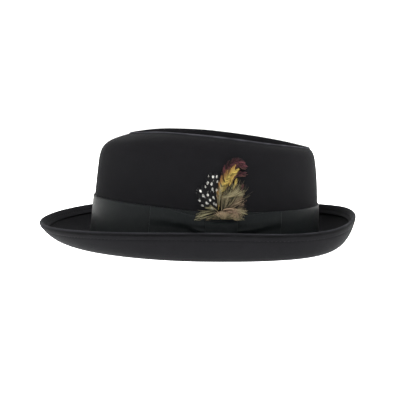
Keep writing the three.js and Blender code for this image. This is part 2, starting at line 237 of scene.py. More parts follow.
def run_along(line):
    """How far along a line each of its points is."""
    return np.concatenate([[0], np.cumsum(np.linalg.norm(np.diff(line, axis=0), axis=1))])


def raised(plan, height):
    """Points of a plan at a height."""
    return stacked(plan[..., 0], plan[..., 1], height)


def arc(reach, rise, turned, along):
    """How far out and up an arc has come at a share of its turn."""
    swept = along * turned
    return reach * np.sin(swept) / np.sin(turned), rise * (1 - np.cos(swept)) / (1 - np.cos(turned))


class HatForm:
    """The hat's surfaces by the angle round the crown: 0 at its back, a half turn at its front."""

    def __init__(self, sizes):
        self.crown, self.brim = sizes.crown, sizes.brim
        self.ribbon, self.feathers = sizes.ribbon, sizes.feathers
        self.length = self.crown.head_length + 2 * self.crown.felt_wall
        self.width = self.crown.head_width + 2 * self.crown.felt_wall
        self.middle_x = (self.brim.front - self.brim.back) / 2
        self.ridge_front = self.middle_x - self.length / 2 + self.crown.front_inset
        self.ridge_back = self.middle_x + self.length / 2 - self.crown.back_inset
        self.ridge_widest = mix(self.ridge_front, self.ridge_back, RIDGE_WIDEST)
        self.peak = mix(self.ridge_front, self.ridge_back, RIDGE_PEAK)
        self.band_bottom = self.crown.felt_wall + BREAK_RADIUS + CLEARANCE
        self.band_top = self.band_bottom + self.ribbon.height
        self.band_out = CLEARANCE + self.ribbon.thickness
        self.bow_middle = self.band_bottom + self.ribbon.height / 2
        self.bow_seat = self.band_out + CLEARANCE
        self.knot_angle = -math.acos(2 * self.ribbon.bow_setback / self.length)
        beside = np.array([-0.01, 0.01])
        ends = self.foot(self.knot_angle + beside)
        self.wall_speed = float(np.linalg.norm(ends[1] - ends[0])) / np.ptp(beside)
        self.tuft_foot = self.bow_middle + self.ribbon.knot_height / 2 + CLEARANCE
        self.tuft_middle = self.tuft_foot + self.feathers.tuft_height / 2

    def foot(self, angle):
        y = self.width / 2 * np.sin(angle) * (1 + OVAL_FULLNESS * np.cos(angle))
        return stacked(self.middle_x + self.length / 2 * np.cos(angle), y)

    def outward(self, angle):
        return unit(stacked(np.cos(angle) / self.length, np.sin(angle) / self.width))

    def foot_height(self, angle):
        return self.brim.front_lift * np.maximum(0, -np.cos(angle)) ** 1.5

    def ridge(self, angle):
        along = np.cos(angle)
        reach = np.where(along < 0, self.ridge_widest - self.ridge_front, self.ridge_back - self.ridge_widest)
        leaf = 1 - np.abs(along) ** RIDGE_TAPER
        side = mix(leaf, np.abs(np.sin(angle)), RIDGE_ROUNDNESS) * np.sign(np.sin(angle))
        return stacked(self.ridge_widest + reach * along, self.crown.ridge_width / 2 * side)

    def ridge_height(self, x):
        fore = np.maximum(0, self.peak - x) / (self.peak - self.ridge_front)
        aft = np.maximum(0, x - self.peak) / (self.ridge_back - self.peak)
        drop = self.crown.front_drop * fore ** 2 + self.crown.back_drop * aft ** RIDGE_SLOPE
        return self.crown.height - drop

    def wall(self, angle, rise):
        """A point of the crown's outer wall, at a share of the way up to the ridge."""
        insets = {side: np.interp(rise, WALL_RISES, shares) for side, shares in WALL_INSETS.items()}
        inset = np.asarray(around(angle, **insets))[..., None]
        ridge = self.ridge(angle)
        height = mix(self.foot_height(angle), self.ridge_height(ridge[..., 0]), rise)
        return raised(mix(self.foot(angle), ridge, inset), height)

    def on_wall(self, angle, height, out):
        """A point at a height over the crown's foot, standing out from its wall."""
        foot = self.foot_height(angle)
        top = self.ridge_height(self.ridge(angle)[..., 0])
        point = self.wall(angle, np.minimum(1, height / (top - foot)))
        return raised(point[..., :2] + self.outward(angle) * np.asarray(out)[..., None], point[..., 2])

    def dent(self, angle, inward, drop):
        middle = np.array([(self.ridge_front + self.ridge_back) / 2, 0])
        plan = mix(self.ridge(angle), middle, inward)
        return raised(plan, self.ridge_height(plan[..., 0]) - self.crown.dent_depth * drop)

    def flat(self, angle):
        """How far from the crown's foot the brim lies flat: widest at its back corners."""
        corner = np.where(np.cos(angle) < 0, 0, np.sin(2 * angle) ** 2)
        return BREAK_RADIUS + REST_WIDTH + CORNER_REST * corner

    def brim_section(self, angle):
        """Reach and rise of the brim's curl, and how far it turns."""
        corner = np.where(np.cos(angle) < 0, FULLNESS_FRONT, FULLNESS_BACK)
        diagonal = np.sin(2 * angle) ** 2
        brim = self.brim
        reach = around(angle, brim.front, brim.side, brim.back) * (1 + corner * diagonal) - RIM_ROUND
        reach = reach - self.flat(angle)
        dip = np.where(np.cos(angle) < 0, 0, brim.rim_dip * diagonal)
        rise = around(angle, brim.rim_front, brim.rim_side, brim.rim_back) - dip - self.crown.felt_wall
        turn_by = around(angle, brim.curl_front, brim.curl_side, brim.curl_back)
        return reach, rise - self.foot_height(angle), turn_by

    def brim_point(self, angle, distance, along):
        """A point of the brim's upper face: a distance out from the crown's foot, and a share of its curl."""
        out, lift = arc(*self.brim_section(angle), along)
        plan = self.foot(angle) + self.outward(angle) * np.asarray(distance + out)[..., None]
        return raised(plan, self.foot_height(angle) + self.crown.felt_wall + lift)

    def curl_point(self, angle, along):
        """A point of the brim's upper face, at a share of its curl."""
        return self.brim_point(angle, self.flat(angle), along)

    def curl_share(self, angle, from_rim):
        """The share of the brim's curl at a distance from the rim, measured along the felt."""
        shares = np.linspace(0, 1, 81)
        out, lift = arc(*(np.ravel(a) for a in self.brim_section(angle)), shares[:, None])
        run = np.cumsum(np.hypot(np.diff(out, axis=0, prepend=0), np.diff(lift, axis=0, prepend=0)), axis=0)
        found = [np.interp(column[-1] - from_rim, column, shares) for column in run.T]
        return np.reshape(found, np.shape(angle))

    def band_rise(self, angle):
        along = np.cos(angle)
        fore = self.ribbon.front_rise * (1 - (1 + along) ** 2)
        return np.where(along < 0, fore, -self.ribbon.back_drop * along ** 2)

    def angle_along(self, distance):
        """The angle at a distance along the wall from the knot's middle."""
        return self.knot_angle + distance / self.wall_speed

    def beside_knot(self, along, height, out):
        return self.on_wall(self.angle_along(along), height, out)

    def feather_plane(self, along, up, out):
        """A point of the straight plane that leans as the lower wall does, from the tuft's middle."""
        angle = self.angle_along(along)
        low = self.on_wall(angle, self.band_bottom, out)
        high = self.on_wall(angle, self.band_top, out)
        t = (self.tuft_middle + up - self.band_bottom) / (self.band_top - self.band_bottom)
        return mix(low, high, np.asarray(t)[..., None])


def noise_round(angles, radius, level):
    """Smooth noise for angles round the hat, with more turns for a larger radius."""
    places = stacked(np.cos(angles) * radius, np.sin(angles) * radius, level)
    return np.array([noise.noise(Vector(place)) for place in places])


def through(rings, steps):
    """Rings on smooth curves through the given ones: a centripetal spline with steps rings for each gap."""
    rings = np.concatenate([2 * rings[:1] - rings[1:2], rings, 2 * rings[-1:] - rings[-2:-1]])
    gaps = np.maximum(np.linalg.norm(np.diff(rings, axis=0), axis=-1, keepdims=True) ** 0.5, 1e-6)
    made = []
    for i in range(1, len(rings) - 2):
        p0, p1, p2, p3 = rings[i - 1:i + 3]
        t0 = np.zeros_like(gaps[0])
        t1 = t0 + gaps[i - 1]
        t2 = t1 + gaps[i]
        t3 = t2 + gaps[i + 1]
        for step in range(steps):
            t = mix(t1, t2, step / steps)
            a1 = mix(p0, p1, (t - t0) / (t1 - t0))
            a2 = mix(p1, p2, (t - t1) / (t2 - t1))
            a3 = mix(p2, p3, (t - t2) / (t3 - t2))
            b1 = mix(a1, a2, (t - t0) / (t2 - t0))
            b2 = mix(a2, a3, (t - t1) / (t3 - t1))
            made.append(mix(b1, b2, (t - t1) / (t2 - t1)))
    made.append(rings[-2])
    return np.array(made)


def grid_faces(rows, columns, round_rows=False, round_columns=False):
    """Faces of a grid of points, and the row and column of their corners, which run on where it closes."""
    i = np.arange(rows - (not round_rows))[:, None]
    j = np.arange(columns - (not round_columns))
    i, j = np.broadcast_arrays(i, j)
    corners = [(0, 0), (1, 0), (1, 1), (0, 1)]
    pairs = np.stack([np.stack([i + a, j + b], -1) for a, b in corners], -2).reshape(-1, 4, 2)
    return pairs, pairs[..., 0] % rows * columns + pairs[..., 1] % columns


def add_object(name, data):
    made = bpy.data.objects.new(name, data)
    bpy.context.scene.collection.objects.link(made)
    return made


def new_mesh(name, points, faces, material):
    mesh = bpy.data.meshes.new(name)
    mesh.from_pydata(np.asarray(points).reshape(-1, 3).tolist(), [], faces)
    mesh.shade_smooth()
    mesh.materials.append(material)
    return mesh


def add_piece(name, points, faces, material, replaces, uv=None, values_by_point=None):
    """A mesh piece that rides on the hat and stands for its CAD node."""
    mesh = new_mesh(name, points, faces, material)
    if uv is not None:
        mesh.uv_layers.new(name="pattern").uv.foreach_set("vector", np.asarray(uv, np.float32).ravel())
    for attribute, values in (values_by_point or {}).items():
        data = mesh.attributes.new(attribute, "FLOAT", "POINT").data
        data.foreach_set("value", np.asarray(values, np.float32))
    mesh.validate()
    piece = add_object(name, mesh)
    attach(piece, "root")
    if replaces:
        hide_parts(replaces)
    return piece


def add_node(tree, kind, settings=None, inputs=None, ramp=()):
    """A shader node: its settings, its inputs set or linked to outputs, and its ramp's places and colours."""
    made = tree.nodes.new("ShaderNode" + kind)
    for name, value in (settings or {}).items():
        setattr(made, name, value)
    for name, value in (inputs or {}).items():
        socket = made.inputs[name]
        if isinstance(value, bpy.types.NodeSocket):
            tree.links.new(value, socket)
        else:
            socket.default_value = value
    for k, (position, colour) in enumerate(ramp):
        made.color_ramp.elements[k].position = position
        made.color_ramp.elements[k].color = colour
    return made


def new_material(name):
    material = bpy.data.materials.new(name)
    material.use_nodes = True
    material.node_tree.nodes.clear()
    return material, material.node_tree


def surface(tree, inputs):
    """The shader that all finishes end in."""
    shader = add_node(tree, "BsdfPrincipled", None, inputs)
    add_node(tree, "OutputMaterial", None, {"Surface": shader.outputs["BSDF"]})


def shaded(colour, brightness):
    """A colour with its brightness changed, with alpha."""
    return [min(1, c * brightness) for c in colour] + [1]


def wool_felt(finishes):
    """Wool felt, fulled, blocked and brushed."""
    # Tangled fibres scatter light: no gloss, a soft bloom where the surface turns away, and fine mottling
    material, tree = new_material("brushed_wool_felt")
    place = add_node(tree, "TexCoord").outputs["Object"]
    fibre = add_node(tree, "TexNoise", None, {
        "Vector": place, "Scale": 1 / (0.7 * MM), "Detail": 4.0, "Roughness": 0.7, "Distortion": 0.4})
    cloud = add_node(tree, "TexNoise", None, {
        "Vector": place, "Scale": 1 / (22 * MM), "Detail": 3.0, "Roughness": 0.6})
    fine = add_node(tree, "MapRange", None, {
        "Value": fibre.outputs["Fac"], "From Min": 0.3, "From Max": 0.7, "To Max": 0.6})
    coarse = add_node(tree, "MapRange", None, {
        "Value": cloud.outputs["Fac"], "From Min": 0.35, "From Max": 0.65, "To Min": 0.1, "To Max": 0.3})
    blend = add_node(tree, "Math", {"operation": "ADD"}, {
        0: coarse.outputs["Result"], 1: fine.outputs["Result"]})
    colours = add_node(tree, "ValToRGB", None, {"Fac": blend.outputs["Value"]}, [
        (0, shaded(finishes.felt, 0.7)), (1, shaded(finishes.felt, 1.35))])
    # Painted highlight along the rim, the welt's round and the dent's ridge, and painted shade at the welt's
    # edge, along its stitching and under the rim, scale the felt's colour
    painted_light_and_shade = add_node(tree, "Attribute", {"attribute_name": "painted_light_and_shade"}).outputs["Fac"]
    scale = add_node(tree, "VectorMath", {"operation": "SCALE"}, {0: colours.outputs["Color"], "Scale": painted_light_and_shade})
    bump = add_node(tree, "Bump", None, {
        "Strength": 0.5, "Distance": 0.25 * MM, "Height": fibre.outputs["Fac"]})
    surface(tree, {
        "Base Color": scale.outputs["Vector"], "Roughness": 0.95, "IOR": 1.5, "Specular IOR Level": 0.08,
        "Sheen Weight": 0.07, "Sheen Roughness": 0.25, "Sheen Tint": [0.85, 0.87, 0.9, 1],
        "Normal": bump.outputs["Normal"]})
    return material


def grosgrain(finishes, rib):
    """Rayon grosgrain ribbon, woven with a thick weft that shows as ribs across it."""
    # The filament yarn has a soft gloss that the ribs break into fine lines
    material, tree = new_material("rayon_grosgrain")
    place = add_node(tree, "UVMap", {"uv_map": "pattern"}).outputs["UV"]
    run = add_node(tree, "SeparateXYZ", None, {"Vector": place}).outputs["X"]
    phase = add_node(tree, "Math", {"operation": "MULTIPLY"}, {0: run, 1: 2 * math.pi / rib})
    wave = add_node(tree, "Math", {"operation": "SINE"}, {0: phase.outputs["Value"]})
    height = add_node(tree, "MapRange", None, {"Value": wave.outputs["Value"], "From Min": -1.0})
    solid = add_node(tree, "TexCoord").outputs["Object"]
    thread = add_node(tree, "TexNoise", None, {
        "Vector": solid, "Scale": 1 / (1.6 * MM), "Detail": 3.0, "Roughness": 0.6})
    # Painted highlight on the ribs' tops and painted shade in the grooves between them, mixed with the thread's
    # random tone
    blend = add_node(tree, "Math", {"operation": "MULTIPLY_ADD"}, {
        0: height.outputs["Result"], 1: 0.45, 2: thread.outputs["Fac"]})
    colours = add_node(tree, "ValToRGB", None, {"Fac": blend.outputs["Value"]}, [
        (0.3, shaded(finishes.ribbon, 0.75)), (1, shaded(finishes.ribbon, 1.2))])
    gloss = add_node(tree, "MapRange", None, {
        "Value": thread.outputs["Fac"], "From Min": 0.3, "From Max": 0.7, "To Min": 0.4, "To Max": 0.5})
    bump = add_node(tree, "Bump", None, {
        "Strength": 0.5, "Distance": 0.12 * MM, "Height": height.outputs["Result"]})
    surface(tree, {
        "Base Color": colours.outputs["Color"], "Roughness": gloss.outputs["Result"], "IOR": 1.5,
        "Specular IOR Level": 0.075, "Normal": bump.outputs["Normal"]})
    return material


def sewing_thread():
    """Spun polyester thread, lightly waxed."""
    # Its twisted plies break up what little gloss the wax gives, so each stitch shows as a dull dash
    material, tree = new_material("black_sewing_thread")
    place = add_node(tree, "TexCoord").outputs["Object"]
    ply = add_node(tree, "TexNoise", None, {"Vector": place, "Scale": 1 / (0.5 * MM)})
    colours = add_node(tree, "ValToRGB", None, {"Fac": ply.outputs["Fac"]}, [
        (0, linear("#09090a") + [1]), (1, linear("#131315") + [1])])
    surface(tree, {"Base Color": colours.outputs["Color"], "Roughness": 0.7, "IOR": 1.5,
                   "Specular IOR Level": 0.15})
    return material


def dyed_feather(name, cool, warm, gloss):
    """A dyed feather: keratin barbs, each a little lighter or warmer than the next."""
    # Barbs are smooth, so a feather has a faint silky gloss along them
    material, tree = new_material(name)
    tone = add_node(tree, "Attribute", {"attribute_name": "tone"}).outputs["Fac"]
    warmth = add_node(tree, "Attribute", {"attribute_name": "warmth"}).outputs["Fac"]
    hue = add_node(tree, "Mix", {"data_type": "RGBA"}, {0: warmth, 6: shaded(cool, 1), 7: shaded(warm, 1)})
    gain = add_node(tree, "MapRange", {"interpolation_type": "SMOOTHERSTEP"}, {
        "Value": tone, "To Min": 0.06, "To Max": 2.2})
    scale = add_node(tree, "VectorMath", {"operation": "SCALE"}, {
        0: hue.outputs[2], "Scale": gain.outputs["Result"]})
    surface(tree, {
        "Base Color": scale.outputs["Vector"], "Roughness": gloss, "IOR": 1.55, "Specular IOR Level": 0.15})
    return material


def guinea_feather(finishes):
    """A guinea fowl feather: black with rows of round white spots."""
    # Its closely set matt barbs carry the pattern, so each spot frays a little from one barb to the next
    material, tree = new_material("guinea_fowl_feather")
    place = add_node(tree, "UVMap", {"uv_map": "pattern"}).outputs["UV"]
    # Spots are about 1.7 by 2.5 mm and stand 3.9 by 5.6 mm apart
    lattice = add_node(tree, "Mapping", None, {"Vector": place, "Scale": [1 / (3.9 * MM), 1 / (5.6 * MM), 1]})
    spots = add_node(tree, "TexVoronoi", {"voronoi_dimensions": "2D"}, {
        "Vector": lattice.outputs["Vector"], "Scale": 1.0, "Randomness": 0.35})
    spot = add_node(tree, "MapRange", None, {
        "Value": spots.outputs["Distance"], "From Min": 0.25, "From Max": 0.18})
    tone = add_node(tree, "Attribute", {"attribute_name": "tone"}).outputs["Fac"]
    ground = add_node(tree, "ValToRGB", None, {"Fac": tone}, [
        (0, shaded(finishes.guinea, 0.5)), (1, shaded(finishes.guinea, 1.8))])
    white = add_node(tree, "ValToRGB", None, {"Fac": tone}, [
        (0.1, shaded(finishes.spots, 0.25)), (0.55, shaded(finishes.spots, 1))])
    colours = add_node(tree, "Mix", {"data_type": "RGBA"}, {
        0: spot.outputs["Result"], 6: ground.outputs["Color"], 7: white.outputs["Color"]})
    surface(tree, {
        "Base Color": colours.outputs[2], "Roughness": 0.6, "IOR": 1.55, "Specular IOR Level": 0.12})
    return material


def studio_paper(colour):
    """Seamless studio paper, matt."""
    # An even pale ground without gloss, in which no horizon shows
    material, tree = new_material("glowing_studio_paper")
    place = add_node(tree, "TexCoord").outputs["Object"]
    grain = add_node(tree, "TexNoise", None, {"Vector": place, "Scale": 40.0})
    colours = add_node(tree, "ValToRGB", None, {"Fac": grain.outputs["Fac"]}, [
        (0, shaded(colour, 0.985)), (1, shaded(colour, 1))])
    # The paper glows though it is no lamp, brightest under the hat as a light table lit from below would be:
    # painted light that also lights the brim's under face
    reach = add_node(tree, "VectorMath", {"operation": "LENGTH"}, {0: place})
    glow = add_node(tree, "MapRange", {"interpolation_type": "SMOOTHSTEP"}, {
        "Value": reach.outputs["Value"], "From Min": 0.3, "From Max": 1.4, "To Min": 2.3, "To Max": 0.36})
    surface(tree, {"Base Color": colours.outputs["Color"], "Roughness": 0.9, "IOR": 1.5,
                   "Specular IOR Level": 0.1, "Emission Color": [1, 1, 1, 1],
                   "Emission Strength": glow.outputs["Result"]})
    return material


def normals_of(grid):
    """Unit normals of a grid of points that closes round its columns, away from the crown's inside."""
    down = np.gradient(grid, axis=0)
    across = np.roll(grid, -1, 1) - np.roll(grid, 1, 1)
    normals = np.cross(down, across)
    size = np.linalg.norm(normals, axis=-1, keepdims=True)
    return np.where(size > 1e-12, normals / np.maximum(size, 1e-12), np.array([0, 0, 1.0]))


# The felt's mesh: points round it, rings made for each ring of the form, the ring of the dent's ridge and how
# far that is pinched up, further rings down the wall, and where the bare felt ends before the welt
FELT_SEGMENTS = 256
CROWN_STEPS = 4
RIDGE_RING = (len(DENT_SECTION) + 1) * CROWN_STEPS
RIDGE_PINCH = 0.8 * MM
LOWER_WALL_RISES = (0.42, 0.34, 0.26, 0.18, 0.1)
BARE_MARGIN = 3.2 * MM

# The welt's section in mm from its edge, its stitching and the rim: how far the upper face stands over the bare
# felt as a share of the welt's lift, how far the under face sinks as a share of the felt, and the painted
# highlight or painted shade on the two faces: painted shadow at the welt's edge and along its stitching,
# painted highlight on the welt's round and on the rim, painted shade under the rim
WELT_SECTION = {
    "edge": ((2.2, 0, 0, 0, 0), (1.0, 0, 0, 0, 0), (0.35, -0.16, 0, -0.7, 0), (0.12, -0.1, 0, -1, 0),
             (0.0, 0.66, 0, -0.2, 0), (-0.35, 0.96, 0, 0.25, 0), (-1.1, 1.0, 0, 0.09, 0)),
    "stitching": ((1.0, 1.0, 0, 0.09, 0), (0.45, 0.93, 0.06, 0.06, 0), (0.0, 0.8, 0.17, -0.3, -0.4),
                  (-0.45, 0.93, 0.06, 0.06, 0), (-1.0, 1.0, 0, 0.1, 0)),
    "rim": ((3.2, 1.0, 0, 0.11, 0), (2.1, 1.02, 0, 0.13, 0), (1.5, 1.02, 0.04, 0.15, -0.6),
            (0.9, 1.0, 0.08, 0.18, -1)),
}

# The rim's round by its turn in degrees and the painted highlight on it with painted shade at its lower turn,
# the painted highlight over the dent's ridge, and how much brighter full painted highlight makes felt and how
# much darker full painted shade
RIM_TURNS = (22, 45, 68, 90, 112, 135, 158)
RIM_PAINTED_LIGHT = (0.22, 0.28, 0.38, 0.44, 0.34, 0.05, -0.5)
RIM_BULGE = 1.5 * MM
RIDGE_PAINTED_HIGHLIGHT = (0.05, 0.2, 0.7, 1.45, 1.35, 0.8, 0.35, 0.1)
PAINTED_HIGHLIGHT_GAIN = 6
PAINTED_SHADE_LOSS = 0.75


def felt_grid(form, angles):
    """Rings of the bare felt's upper face from the dent's middle to the rim.

    With them come what each face adds and the painted highlight and painted shade on each face.
    """
    dent = [form.dent(angles, inward, drop) for inward, drop in reversed(DENT_SECTION)]
    pinch = np.array([0, 0, RIDGE_PINCH])
    dent += [form.dent(angles, 0.014, 0.015), form.wall(angles, 1.0) + pinch, form.wall(angles, 0.995),
             form.wall(angles, 0.987)]
    wall = [form.wall(angles, rise) for rise in (*reversed(WALL_RISES[1:-1]), *LOWER_WALL_RISES)]
    bend = BREAK_RADIUS * (1 - math.sqrt(0.5))
    foot = [form.on_wall(angles, form.crown.felt_wall + BREAK_RADIUS, 0),
            form.on_wall(angles, form.crown.felt_wall + bend, bend)]
    flat = [form.brim_point(angles, mix(BREAK_RADIUS, form.flat(angles), t), 0) for t in (0, 0.5)]
    crown = through(np.array(dent + wall + foot + flat), CROWN_STEPS)
    bare = form.curl_share(angles, form.brim.welt_width + BARE_MARGIN)
    rings = [form.curl_point(angles, bare * t) for t in np.linspace(0, 1, 15)]
    starts = {"edge": form.brim.welt_width, "stitching": form.brim.stitch_inset, "rim": 0}
    section = [(starts[part] + row[0] * MM, row[1:]) for part, rows in WELT_SECTION.items() for row in rows]
    rings += [form.curl_point(angles, form.curl_share(angles, distance)) for distance, _ in section]
    base = np.concatenate([crown, np.array(rings)])
    added = np.zeros((len(base), 4))
    added[-len(section):] = [row for _, row in section]
    # Painted highlight along the dent's ridge, where the ridge catches the light
    added[RIDGE_RING - 3:RIDGE_RING + 5, 2] = RIDGE_PAINTED_HIGHLIGHT
    upper, under = added[:, 0] * form.brim.welt_lift, added[:, 1] * form.crown.felt_wall
    return base, upper[:, None, None], under[:, None, None], added[:, 2:]


def unevenness(form, grid, normals):
    """How far hand work leaves each point of the felt off its true form.

    It fades out where the hat rests and where the band lies on it.
    """
    waves = np.array([[noise.noise(Vector(p) / (34 * MM)) for p in ring] for ring in grid])
    clear = smooth((grid[..., 2] - form.band_top - 6 * MM) / (14 * MM))
    centre = np.array([form.middle_x, 0])
    out = np.linalg.norm((grid[..., :2] - centre) / [form.length / 2, form.width / 2], axis=-1)
    brim = smooth((out - 1.16) / 0.12)
    return (waves * form.crown.unevenness * np.maximum(clear, brim))[..., None] * normals


def felt_faces(rows, columns):
    """Faces of a closed skin of rings between two poles."""
    quads = 1 + grid_faces(rows, columns, round_columns=True)[1]
    last = 1 + rows * columns
    ring = np.arange(columns)
    after = (ring + 1) % columns
    first = np.stack([np.zeros_like(ring), 1 + ring, 1 + after], -1)
    final = np.stack([np.full_like(ring, last), last - columns + after, last - columns + ring], -1)
    return first.tolist() + quads.tolist() + final.tolist()


def make_felt(form, finishes):
    """The crown and brim: an upper and an under skin, closed round the rim."""
    angles = turns(FELT_SEGMENTS)
    base, upper, under, painted_light_and_shade = felt_grid(form, angles)
    normals = normals_of(base)
    normals[0] = [0, 0, 1]
    base = base + unevenness(form, base, normals)
    top = base + normals * upper
    soft = unit(sum(np.roll(normals, shift, 0) for shift in range(-4, 5)))
    ridge = smooth(1 - np.abs(np.arange(len(base)) - RIDGE_RING) / (4 * CROWN_STEPS))[:, None, None]
    low = base - mix(normals, soft, ridge) * (form.crown.felt_wall - under)
    edge_out = unit(base[-1] - base[-2])
    middle, half = (top[-1] + low[-1]) / 2, (top[-1] - low[-1]) / 2
    rim = [middle + half * math.cos(t) + edge_out * RIM_BULGE * math.sin(t) for t in np.radians(RIM_TURNS)]
    rows = np.concatenate([top[1:], np.array(rim), low[:0:-1]])
    points = np.concatenate([top[0, :1], rows.reshape(-1, 3), low[0, :1]])
    # The floor keeps the brim's under face flat where it rests
    points[:, 2] = np.maximum(points[:, 2], 0)
    # Painted highlight and painted shade by row, unevenly strong round the hat, turned into a gain on the
    # felt's colour
    by_row = np.concatenate([painted_light_and_shade[1:, 0], RIM_PAINTED_LIGHT, painted_light_and_shade[:0:-1, 1]])
    patchy = 1 + 0.8 * noise_round(angles, 9, 0.0)
    light_and_shade_gain = np.concatenate([[0], (by_row[:, None] * patchy).ravel(), [0]])
    light_and_shade_gain = 1 + np.where(light_and_shade_gain > 0, PAINTED_HIGHLIGHT_GAIN * light_and_shade_gain, PAINTED_SHADE_LOSS * np.maximum(light_and_shade_gain, -1))
    faces = felt_faces(len(rows), FELT_SEGMENTS)
    add_piece("hat_felt", points, faces, wool_felt(finishes), "felt_body",
              values_by_point={"painted_light_and_shade": light_and_shade_gain})


def tubes(lines, width, height, sides, up):
    """Closed thin tubes along many lines of points: corners and faces. lines is (tubes, points, 3)."""
    count, steps, _ = lines.shape
    along = unit(np.gradient(lines, axis=1))
    side = unit(np.cross(along, up))
    over = np.cross(side, along)
    ring = turns(sides) + math.pi / 2
    sideways = np.cos(ring)[:, None] * np.asarray(width)[..., None, None] / 2
    upwards = np.sin(ring)[:, None] * np.asarray(height)[..., None, None] / 2
    points = lines[:, :, None] + side[:, :, None] * sideways + over[:, :, None] * upwards
    quads = grid_faces(steps, sides, round_columns=True)[1]
    size = steps * sides
    faces = (np.arange(count)[:, None, None] * size + quads[None]).reshape(-1, 4).tolist()
    caps = np.arange(sides)
    for first in range(count):
        faces.append((first * size + caps).tolist())
        faces.append((first * size + size - sides + caps[::-1]).tolist())
    return points.reshape(-1, 3), faces


# A stitch: its thread, where along its length it shows, how it sinks at its ends, and how deep it lies in
# the welt's lift and in the felt
THREAD_WIDTH = 0.4 * MM
THREAD_HEIGHT = 0.3 * MM
STITCH_SPAN = (0.1, 0.86)
STITCH_SAG = np.array([-0.3, -0.02, 0.06, -0.02, -0.3]) * MM
STITCH_OVER = 0.82
STITCH_UNDER = 0.8


def make_stitching(form):
    """Lockstitches through the welt, on both faces of the brim."""
    fine = np.linspace(0, 2 * math.pi, 2001)
    along = form.curl_share(fine, form.brim.stitch_inset)
    line = form.curl_point(fine, along)
    run = run_along(line)
    count = round(run[-1] / form.brim.stitch_length)
    shares = (np.arange(count)[:, None] + np.linspace(*STITCH_SPAN, len(STITCH_SAG))) / count
    angles = np.interp(shares, run / run[-1], fine)
    along = form.curl_share(angles, form.brim.stitch_inset)
    step = 1e-4
    here = form.curl_point(angles, along)
    out = form.curl_point(angles, along + step) - here
    beside = form.curl_point(angles + step, along) - here
    normal = unit(np.cross(out, beside))
    over = here + normal * (form.brim.welt_lift * STITCH_OVER + STITCH_SAG[:, None])
    below = here - normal * (form.crown.felt_wall * STITCH_UNDER + STITCH_SAG[:, None])
    lines, ups = np.concatenate([over, below]), np.concatenate([normal, normal])
    thread = np.ones(lines.shape[:2])
    points, faces = tubes(lines, thread * THREAD_WIDTH, thread * THREAD_HEIGHT, 6, ups)
    add_piece("welt_stitching", points, faces, sewing_thread(), None)


# The band: points round it, how far its edges are rounded, and how far it sways off the crown's wall
BAND_SEGMENTS = 384
EDGE_EASE = 0.28 * MM
BAND_SWAY = 0.16 * MM


def make_band(form, finishes):
    """The ribbon round the crown's foot, with its rounded edges."""
    ribbon = form.ribbon
    angles = turns(BAND_SEGMENTS)
    ease = EDGE_EASE
    low, high = form.band_bottom, form.band_top
    full = form.band_out
    section = [(low, full - ease), (low + 0.1 * MM, full - ease / 3), (low + ease, full)]
    section += [(mix(low, high, t), full) for t in np.linspace(0.03, 0.97, 18)]
    section += [(high - 0.9 * MM, full), (high - ease, full - ease / 4), (high - 0.08 * MM, full - ease),
                (high, full - 2 * ease), (high, CLEARANCE), (form.bow_middle, CLEARANCE), (low, CLEARANCE)]
    rows = []
    for height, out in section:
        up = (height - low) / (high - low)
        sway = noise_round(angles, 5, up * 0.8)
        lift = form.band_rise(angles) * smooth(up)
        shift = sway * BAND_SWAY * (out > CLEARANCE) * math.sin(math.pi * up)
        rows.append(form.on_wall(angles, height + lift, out + shift))
    rows = np.array(rows)
    pairs, faces = grid_faces(len(rows), BAND_SEGMENTS, True, True)
    run = run_along(np.concatenate([rows[10], rows[10, :1]]))
    cut_length = float(run[-1])
    # A whole number of ribs goes round, so the pattern closes
    run *= round(cut_length / ribbon.rib) * ribbon.rib / cut_length
    heights = np.array([height for height, _ in section])
    uv = np.stack([run[pairs[..., 1]], heights[pairs[..., 0] % len(rows)]], -1)
    material = grosgrain(finishes, ribbon.rib)
    piece = add_piece("ribbon_band", rows, faces[:, ::-1].tolist(), material, "hat_band",
                      uv=uv[:, ::-1])


def add_loop(name, replaces, columns, run, across, material, thickness, flipped):
    """A thick ribbon through columns of points. Its run and its width place the ribs."""
    pairs, faces = grid_faces(len(columns), len(across))
    uv = np.stack([np.array(run)[pairs[..., 0]], across[pairs[..., 1]]], -1)
    if flipped:
        faces, uv = faces[:, ::-1], uv[:, ::-1]
    piece = add_piece(name, columns, faces.tolist(), material, replaces, uv=uv)
    thick = piece.modifiers.new("ribbon", "SOLIDIFY")
    thick.thickness = thickness
    thick.offset = -1
    return piece


# The bow: how thick its ribbon is at a wing and at the knot, how far a wing's root goes under the knot, how
# deep its pleats are, and how far its valley and its back lie off the band
WING_THICKNESS = 0.4 * MM
KNOT_THICKNESS = 0.6 * MM
WING_TUCK = 0.6 * MM
WING_PLEAT = 0.4 * MM
VALLEY_DEPTH = 1.5 * MM
WING_BACK = 0.1 * MM


def wing_points(form, side, reach, level, u, v):
    """The front layer of a wing: a lit upper fold over a valley that runs down towards the knot."""
    ribbon = form.ribbon
    opened = np.minimum(1, 1.4 * u) ** 0.8
    height = mix(ribbon.wing_root, ribbon.height, opened)
    along = side * (ribbon.knot_width / 2 - WING_TUCK + (reach + 0.9 * MM) * u)
    rise = form.band_rise(form.angle_along(along)) * v * opened
    puff = mix(ribbon.wing_puff, ribbon.wing_fold, u ** 0.7)
    crest = mix(0.60, 0.76, smooth(u / level))
    fold = np.where(v > crest, (1 - v) / (1 - crest), 0.0)
    upper = np.where(v > crest, np.sin(fold * math.pi / 2) ** 0.85, 0)
    upper = np.where(v <= crest, 1 - smooth((crest - v) / mix(0.13, 0.18, u)), upper)
    pleats = WING_PLEAT * np.exp(-u / 0.3) * np.cos(v * 2 * math.pi * 5) * (0.3 + 0.7 * upper)
    out = form.bow_seat + mix(VALLEY_DEPTH, puff, upper) + pleats
    return along, form.bow_middle + height * (v - 0.5) + rise, out


